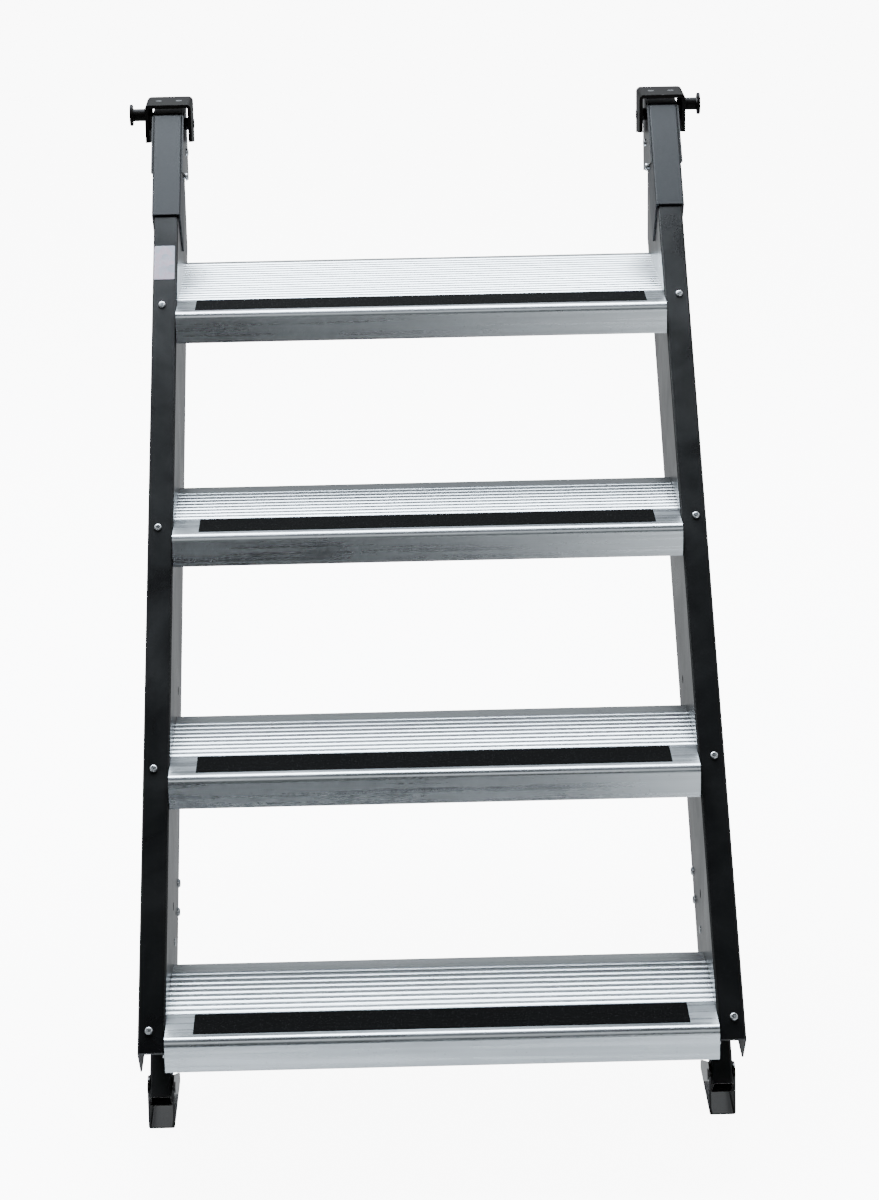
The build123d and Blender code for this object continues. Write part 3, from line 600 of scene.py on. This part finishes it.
def grit_finish(looks):
    """Black mineral grit in resin, with a few grains that glint."""
    material, tree, shader = new_material("Grit Tape")
    grains = use_group(tree, group("Specks"), Width=looks.grain, Share=0.12)
    fine = use_group(tree, group("Specks"), Width=0.45 * looks.grain, Share=0.2)
    marks = use_group(tree, group("Handling Marks"), Width=0.06, Sharpness=0.3)["Mask"]
    grit = tuple(looks.grit)
    base = blend_colours(tree, grains["Shade"], grit, [2.2 * part for part in grit])
    base = blend_colours(tree, maths(tree, "MULTIPLY", fine["Mask"], 0.16), base, tuple(looks.spark))
    base = blend_colours(tree, maths(tree, "MULTIPLY", grains["Mask"], 0.45), base, tuple(looks.spark))
    base = blend_colours(tree, maths(tree, "MULTIPLY", marks, 0.12), base, tuple(looks.spark))
    tree.links.new(base, shader["Base Color"])
    tree.links.new(remap(tree, grains["Mask"], 0.0, 1.0, 0.88, 0.42), shader["Roughness"])
    shader["Specular IOR Level"].default_value = 0.06
    bump(tree, shader, fine["Shade"], 0.7, 0.0002)
    arrange(tree)
    return material


def plated_steel(name, colour, roughness, grain, metallic):
    """Plated or blackened fastener: a little mottled, with turned lines and dull spots."""
    material, tree, shader = new_material(name)
    marks = use_group(tree, group("Handling Marks"), Width=0.006, Sharpness=0.4)["Mask"]
    spots = use_group(tree, group("Specks"), Width=grain, Share=0.15)["Mask"]
    base = colour
    for mask, share, darker in ((marks, 0.6, 0.72), (spots, 0.4, 0.55)):
        shade = [darker * part for part in colour]
        base = blend_colours(tree, maths(tree, "MULTIPLY", mask, share), base, shade)
    tree.links.new(base, shader["Base Color"])
    shader["Metallic"].default_value = metallic
    rough = remap(tree, marks, 0.0, 1.0, roughness - 0.05, roughness + 0.1)
    tree.links.new(rough, shader["Roughness"])
    height = use_group(tree, group("Coat Peel"), Width=grain, Waves=0.5)["Height"]
    bump(tree, shader, height, 0.25, 0.00003)
    arrange(tree)
    return material


def zinc_plate(looks):
    return plated_steel("Bright Zinc", tuple(looks.zinc), 0.22, 0.0006, 1.0)


def black_steel(looks):
    return plated_steel("Black Bolt Steel", tuple(looks.black_steel), 0.32, 0.0008, 0.9)


def nylon(looks):
    """Moulded nylon with a fine spark-eroded grain."""
    material, tree, shader = new_material("Black Nylon")
    marks = use_group(tree, group("Handling Marks"), Width=0.02, Sharpness=0.4)["Mask"]
    colour = tuple(looks.nylon)
    base = blend_colours(tree, marks, colour, [1.7 * part for part in colour])
    tree.links.new(base, shader["Base Color"])
    tree.links.new(remap(tree, marks, 0.0, 1.0, 0.48, 0.6), shader["Roughness"])
    height = use_group(tree, group("Coat Peel"), Width=0.0005, Waves=0.2)["Height"]
    bump(tree, shader, height, 0.4, 0.00004)
    arrange(tree)
    return material


def label_finish(looks):
    """Silver film with uneven patches of tint and a crinkled surface."""
    material, tree, shader = new_material("Label Film")
    patches = use_group(tree, group("Handling Marks"), Width=0.009, Sharpness=0.7)["Mask"]
    specks = use_group(tree, group("Specks"), Width=0.0014, Share=0.3)["Mask"]
    base = blend_colours(tree, patches, tuple(looks.film), tuple(looks.tint))
    pale = [min(1.0, 1.35 * part) for part in looks.film]
    base = blend_colours(tree, maths(tree, "MULTIPLY", specks, 0.35), base, pale)
    tree.links.new(base, shader["Base Color"])
    shader["Metallic"].default_value = 0.45
    tree.links.new(remap(tree, patches, 0.0, 1.0, 0.3, 0.46), shader["Roughness"])
    height = use_group(tree, group("Coat Peel"), Width=0.0035, Waves=0.6)["Height"]
    bump(tree, shader, height, 0.35, 0.00012)
    arrange(tree)
    return material


def repaint(node, material):
    """Gives a CAD node that keeps its shape its finish."""
    piece = frame["nodes"][node]
    piece.data.materials.clear()
    piece.data.materials.append(material)


# ---- One operator for each group of like pieces ----
class TAILGATE_OT_treads(Operator):
    """Make the extruded aluminium treads, with rounded arrises and painted shade in the grooves between the
    ridges
    """
    bl_idname = "tailgate.treads"
    bl_label = "Treads"

    def execute(self, context):
        looks = context.scene.tailgate_treads
        metal = mill_aluminium(looks)
        for node in TREADS:
            piece = softened(node, node + "_extrusion", looks.arris)
            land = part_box(node.replace("tread", "grip_tape"))
            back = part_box(node)[1].y

            def between_ridges(face, land=land, back=back):
                level = abs(face.center.z - land[0].z) < LEVEL_TOLERANCE and face.normal.z > FACING
                ridged = land[1].y < face.center.y < back - BACK_LAND
                return level and ridged and face.area < GROOVE_AREA

            # The faces between the ridges, which the aluminium finish darkens with painted shade.
            mark_faces(piece, "groove", between_ridges)
            finish_piece(piece, node, metal)
        return {"FINISHED"}


class TAILGATE_OT_grip_tapes(Operator):
    """Make the grit tapes, with grains that stand up from their backing"""
    bl_idname = "tailgate.grip_tapes"
    bl_label = "Grip Tapes"

    def execute(self, context):
        looks = context.scene.tailgate_tapes
        finish = grit_finish(looks)
        grains = bpy.data.textures.new("Grit", "VORONOI")
        grains.noise_scale = looks.grain
        grains.noise_intensity = 1.6
        for node in TAPES:
            finish_piece(grit_strip(node, looks, grains), node, finish)
        return {"FINISHED"}


def grit_strip(node, looks, grains):
    """One strip of tape: a thin slab whose top is raised in grains."""
    low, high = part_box(node)
    size = high - low
    backing = size.z - looks.relief
    deselect()
    bpy.ops.mesh.primitive_grid_add(
        x_subdivisions=round(size.x / looks.spacing), y_subdivisions=round(size.y / looks.spacing),
        size=1, location=(low.x + size.x / 2, low.y + size.y / 2, low.z))
    piece = bpy.context.object
    piece.name = node + "_grit"
    piece.scale = (size.x, size.y, 1)
    bpy.ops.object.transform_apply(location=True, rotation=True, scale=True)
    bpy.ops.object.mode_set(mode="EDIT")
    bpy.ops.mesh.select_all(action="SELECT")
    bpy.ops.mesh.extrude_region_move(TRANSFORM_OT_translate={"value": (0, 0, backing)})
    bpy.ops.mesh.select_all(action="SELECT")
    bpy.ops.mesh.normals_make_consistent(inside=False)
    select_faces(piece, lambda face: face.normal.z < -0.5)
    bpy.ops.mesh.dissolve_faces()
    bpy.ops.object.mode_set(mode="OBJECT")
    raised = piece.vertex_groups.new(name="grit")
    inset = looks.spacing / 2
    inside = [
        vertex.index for vertex in piece.data.vertices
        if vertex.co.z > low.z + backing / 2
        and low.x + inset < vertex.co.x < high.x - inset
        and low.y + inset < vertex.co.y < high.y - inset
    ]
    raised.add(inside, 1.0, "REPLACE")
    apply_modifier(
        piece, "DISPLACE", texture=grains, texture_coords="LOCAL", direction="Z", mid_level=0.0,
        strength=looks.relief, vertex_group="grit")
    bpy.ops.object.shade_smooth_by_angle(angle=SMOOTH_ANGLE)
    return piece


class TAILGATE_OT_stringers(Operator):
    """Make the stringers' webs and covers, and the sleeves and brackets at their heads, in powder coat"""
    bl_idname = "tailgate.stringers"
    bl_label = "Stringers and Heads"

    def execute(self, context):
        looks = context.scene.tailgate_sheet
        coat = stringer_coat(looks)
        coats = {"stringer": coat, "cover": coat, "sleeve": sleeve_coat(looks), "head_bracket": coat}
        for side in SIDES:
            for part, finish in coats.items():
                node = f"{side}_{part}"
                piece = softened(node, node + "_sheet", looks.arris)
                finish_piece(piece, node, finish)
        return {"FINISHED"}


class TAILGATE_OT_hangers(Operator):
    """Make the hanger caps and their spool studs, in cap paint"""
    bl_idname = "tailgate.hangers"
    bl_label = "Hangers"

    def execute(self, context):
        looks = context.scene.tailgate_sheet
        paint = cap_paint(looks)
        for side in SIDES:
            for part in ("hanger_cap", "hanger_stud"):
                node = f"{side}_{part}"
                piece = softened(node, node + "_painted", looks.arris)
                finish_piece(piece, node, paint)
        return {"FINISHED"}


class TAILGATE_OT_legs(Operator):
    """Make the square legs, painted outside and bare where they were sawn off"""
    bl_idname = "tailgate.legs"
    bl_label = "Legs"

    def execute(self, context):
        looks = context.scene.tailgate_sheet
        paint = leg_paint(looks)
        sawn = sawn_steel(looks)
        slope = stringer_slope()
        up_leg = Vector((0, cos(slope), sin(slope)))
        for side in SIDES:
            node = f"{side}_leg"
            piece = softened(node, node + "_tube", looks.arris)
            finish_piece(piece, node, paint)
            piece.data.materials.append(sawn)
            for face in piece.data.polygons:
                if abs(face.normal.dot(up_leg)) > FACING and face.area > SAWN_AREA:
                    face.material_index = 1
        return {"FINISHED"}


class TAILGATE_OT_feet(Operator):
    """Make the swivel feet, in glossy paint that is worn along the sole"""
    bl_idname = "tailgate.feet"
    bl_label = "Feet"

    def execute(self, context):
        looks = context.scene.tailgate_sheet
        paint = foot_paint(looks)
        for side in SIDES:
            node = f"{side}_foot"
            finish_piece(softened(node, node + "_shoe", looks.arris), node, paint)
        return {"FINISHED"}


class TAILGATE_OT_fasteners(Operator):
    """Finish the screws, bolts, nuts, rivets, spacers, pads and collars"""
    bl_idname = "tailgate.fasteners"
    bl_label = "Fasteners"

    def execute(self, context):
        looks = context.scene.tailgate_fasteners
        finishes = {
            "zinc_steel": (zinc_plate(looks), (
                "cover_screws", "cover_nuts", "tread_screws", "cap_screws", "head_bolts", "head_spacers",
                "web_rivet", "leg_bolts")),
            "black_bolt_steel": (black_steel(looks), (
                "stud_nut", "pivot_pin", "leg_nuts", "foot_rivet")),
            "black_nylon": (nylon(looks), ("hanger_pad", "pivot_collars")),
        }
        for slot, (material, parts) in finishes.items():
            for side in SIDES:
                for part in parts:
                    repaint(f"{side}_{part}", material)
        return {"FINISHED"}


class TAILGATE_OT_label(Operator):
    """Make the blank label film on the left cover"""
    bl_idname = "tailgate.label"
    bl_label = "Label"

    def execute(self, context):
        looks = context.scene.tailgate_label
        low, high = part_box("label")
        size = high - low
        slope = stringer_slope()
        length = (size.y - FILM_THICKNESS * sin(slope)) / cos(slope)
        deselect()
        bpy.ops.mesh.primitive_plane_add(
            size=1, location=(low + high) / 2, rotation=(slope, 0, 0))
        piece = bpy.context.object
        piece.name = "label_film"
        piece.scale = (size.x, length, 1)
        bpy.ops.object.transform_apply(location=False, rotation=False, scale=True)
        bpy.ops.object.mode_set(mode="EDIT")
        bpy.ops.mesh.select_all(action="SELECT")
        bpy.ops.mesh.bevel(offset=looks.corner, segments=4, affect="VERTICES")
        bpy.ops.mesh.select_all(action="SELECT")
        bpy.ops.mesh.inset(thickness=FILM_THICKNESS)
        bpy.ops.object.mode_set(mode="OBJECT")
        apply_modifier(piece, "SOLIDIFY", thickness=FILM_THICKNESS, offset=0.0)
        apply_modifier(piece, "BEVEL", width=FILM_THICKNESS / 4, segments=2)
        bpy.ops.object.transform_apply(location=True, rotation=True, scale=True)
        bpy.ops.object.shade_smooth_by_angle(angle=SMOOTH_ANGLE)
        finish_piece(piece, "label", label_finish(looks))
        return {"FINISHED"}


class TAILGATE_OT_stage(Operator):
    """Make the floor, the studio lights and the camera"""
    bl_idname = "tailgate.stage"
    bl_label = "Stage"

    def execute(self, context):
        looks = context.scene.tailgate_stage
        make_floor(looks)
        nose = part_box(TREADS[0])[0].y
        split = CARD_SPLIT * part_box(TREADS[0])[1].x
        for name, left, right, depths, glow in (
                ("dark_card", -CARD_SIDE, split, FRONT_CARD_DEPTHS, looks.dark_card),
                ("bright_card", split, CARD_SIDE, FRONT_CARD_DEPTHS, looks.bright_card),
                ("back_card", -CARD_SIDE, CARD_SIDE, BACK_CARD_DEPTHS, looks.back_card)):
            make_card(name, (left, nose + depths[0]), (right, nose + depths[1]), glow)
        make_studio(looks)
        make_softbox(looks)
        make_camera(context, looks)
        return {"FINISHED"}


def make_floor(looks):
    deselect()
    bpy.ops.mesh.primitive_plane_add(size=looks.floor_width)
    floor = bpy.context.object
    floor.name = "floor"
    material, tree, shader = new_material("Floor")
    paper = use_group(tree, group("Handling Marks"), Width=1.5, Sharpness=0.0)["Mask"]
    colour = tuple(looks.floor)
    darker = [0.95 * part for part in colour]
    base = blend_colours(tree, maths(tree, "MULTIPLY", paper, 0.15), colour, darker)
    tree.links.new(base, shader["Base Color"])
    shader["Roughness"].default_value = 0.9
    shader["Specular IOR Level"].default_value = 0.1
    seen = add(tree, "ShaderNodeLightPath").outputs["Is Camera Ray"]
    shader["Emission Color"].default_value = (1.0, 1.0, 1.0, 1.0)
    tree.links.new(maths(tree, "MULTIPLY", seen, looks.floor_glow), shader["Emission Strength"])
    arrange(tree)
    floor.data.materials.append(material)


def make_card(name, low, high, glow):
    """Card that lies on the floor from its low to its high corner. Only reflections show it."""
    deselect()
    middle = [(first + last) / 2 for first, last in zip(low, high)]
    bpy.ops.mesh.primitive_plane_add(size=1, location=(*middle, CARD_HEIGHT))
    card = bpy.context.object
    card.name = name
    card.scale = (high[0] - low[0], high[1] - low[1], 1)
    bpy.ops.object.transform_apply(location=True, rotation=True, scale=True)
    material, tree, shader = new_material(name)
    mottle = use_group(tree, group("Handling Marks"), Width=0.8, Sharpness=0.0)["Mask"]
    shader["Base Color"].default_value = (0.0, 0.0, 0.0, 1.0)
    shader["Specular IOR Level"].default_value = 0.0
    shader["Emission Color"].default_value = CARD_COLOUR
    tree.links.new(remap(tree, mottle, 0.0, 1.0, glow, 0.8 * glow), shader["Emission Strength"])
    arrange(tree)
    card.data.materials.append(material)
    card.visible_camera = False
    card.visible_diffuse = False
    card.visible_shadow = False


def make_studio(looks):
    """Light from all round: walls that are brightest halfway up, a dark ceiling and a dimmer front wall."""
    world = bpy.data.worlds.new("Studio")
    world.use_nodes = True
    tree = world.node_tree
    direction = add(tree, "ShaderNodeTexCoord").outputs["Generated"]
    parts = add(tree, "ShaderNodeSeparateXYZ", {"Vector": direction}).outputs
    foot = remap(tree, parts["Y"], *FRONT_EDGE, looks.front_wall * looks.horizon, looks.horizon)
    top = remap(tree, parts["Y"], *FRONT_EDGE, looks.front_top * looks.wall_top, looks.wall_top)
    wall = remap(tree, parts["Z"], *WALL_EDGE, foot, top)
    shade = remap(tree, parts["Z"], *CEILING_EDGE, 1.0, looks.ceiling)
    background = tree.nodes["Background"].inputs
    tree.links.new(maths(tree, "MULTIPLY", wall, shade), background["Strength"])
    background["Color"].default_value = STUDIO_COLOUR
    arrange(tree)
    bpy.context.scene.world = world


def make_softbox(looks):
    """Rectangular softbox above and behind the step's head."""
    light = bpy.data.lights.new("Overhead Softbox", "AREA")
    light.shape = "RECTANGLE"
    light.size, light.size_y = SOFTBOX_SIZE
    light.energy = looks.overhead
    light.color = SOFTBOX_COLOUR
    lamp = bpy.data.objects.new("Overhead Softbox", light)
    lamp.location = SOFTBOX_AT
    aim = Vector(SOFTBOX_TOWARDS) - Vector(SOFTBOX_AT)
    lamp.rotation_euler = aim.to_track_quat("-Z", "Y").to_euler()
    bpy.context.scene.collection.objects.link(lamp)


def make_camera(context, looks):
    """Camera that is level and faces +Y before it is turned, tilted and rolled."""
    camera = bpy.data.objects.new("Camera", bpy.data.cameras.new("Camera"))
    camera.data.lens = looks.lens
    camera.data.sensor_width = SENSOR_WIDTH
    turn = Matrix.Rotation(looks.yaw, 4, "Z") @ Matrix.Rotation(looks.pitch, 4, "X")
    turn = turn @ Matrix.Rotation(looks.roll, 4, "Y") @ Matrix.Rotation(radians(90), 4, "X")
    nose = Vector((0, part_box(TREADS[0])[0].y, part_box(TAPES[0])[0].z))
    camera.matrix_world = Matrix.Translation(nose + Vector(looks.camera_at)) @ turn
    context.scene.collection.objects.link(camera)
    context.scene.camera = camera


# ---- Sidebar panel and registration ----
GROUPS = {
    "tailgate_treads": (TreadLooks, (TAILGATE_OT_treads,)),
    "tailgate_tapes": (TapeLooks, (TAILGATE_OT_grip_tapes,)),
    "tailgate_sheet": (SheetLooks, (
        TAILGATE_OT_stringers, TAILGATE_OT_hangers, TAILGATE_OT_legs, TAILGATE_OT_feet)),
    "tailgate_fasteners": (FastenerLooks, (TAILGATE_OT_fasteners,)),
    "tailgate_label": (LabelLooks, (TAILGATE_OT_label,)),
    "tailgate_stage": (StageLooks, (TAILGATE_OT_stage,)),
}


class TAILGATE_PT_step(Panel):
    """Lists each group of pieces with its sizes and colours"""
    bl_idname = "TAILGATE_PT_step"
    bl_label = "Tailgate Step"
    bl_space_type = "VIEW_3D"
    bl_region_type = "UI"
    bl_category = "Tailgate Step"

    def draw(self, context):
        for name, (looks, operators) in GROUPS.items():
            box = self.layout.box()
            for setting in looks.__annotations__:
                box.prop(getattr(context.scene, name), setting)
            for operator in operators:
                box.operator(operator.bl_idname)


def register():
    for name, (looks, operators) in GROUPS.items():
        bpy.utils.register_class(looks)
        setattr(bpy.types.Scene, name, PointerProperty(type=looks))
        for operator in operators:
            bpy.utils.register_class(operator)
    bpy.utils.register_class(TAILGATE_PT_step)


def unregister():
    bpy.utils.unregister_class(TAILGATE_PT_step)
    for name, (looks, operators) in GROUPS.items():
        for operator in operators:
            bpy.utils.unregister_class(operator)
        delattr(bpy.types.Scene, name)
        bpy.utils.unregister_class(looks)


def main():
    register()
    bpy.ops.tailgate.stage()
    bpy.ops.tailgate.treads()
    bpy.ops.tailgate.grip_tapes()
    bpy.ops.tailgate.stringers()
    bpy.ops.tailgate.hangers()
    bpy.ops.tailgate.legs()
    bpy.ops.tailgate.feet()
    bpy.ops.tailgate.fasteners()
    bpy.ops.tailgate.label()


if __name__ == "__main__":
    main()
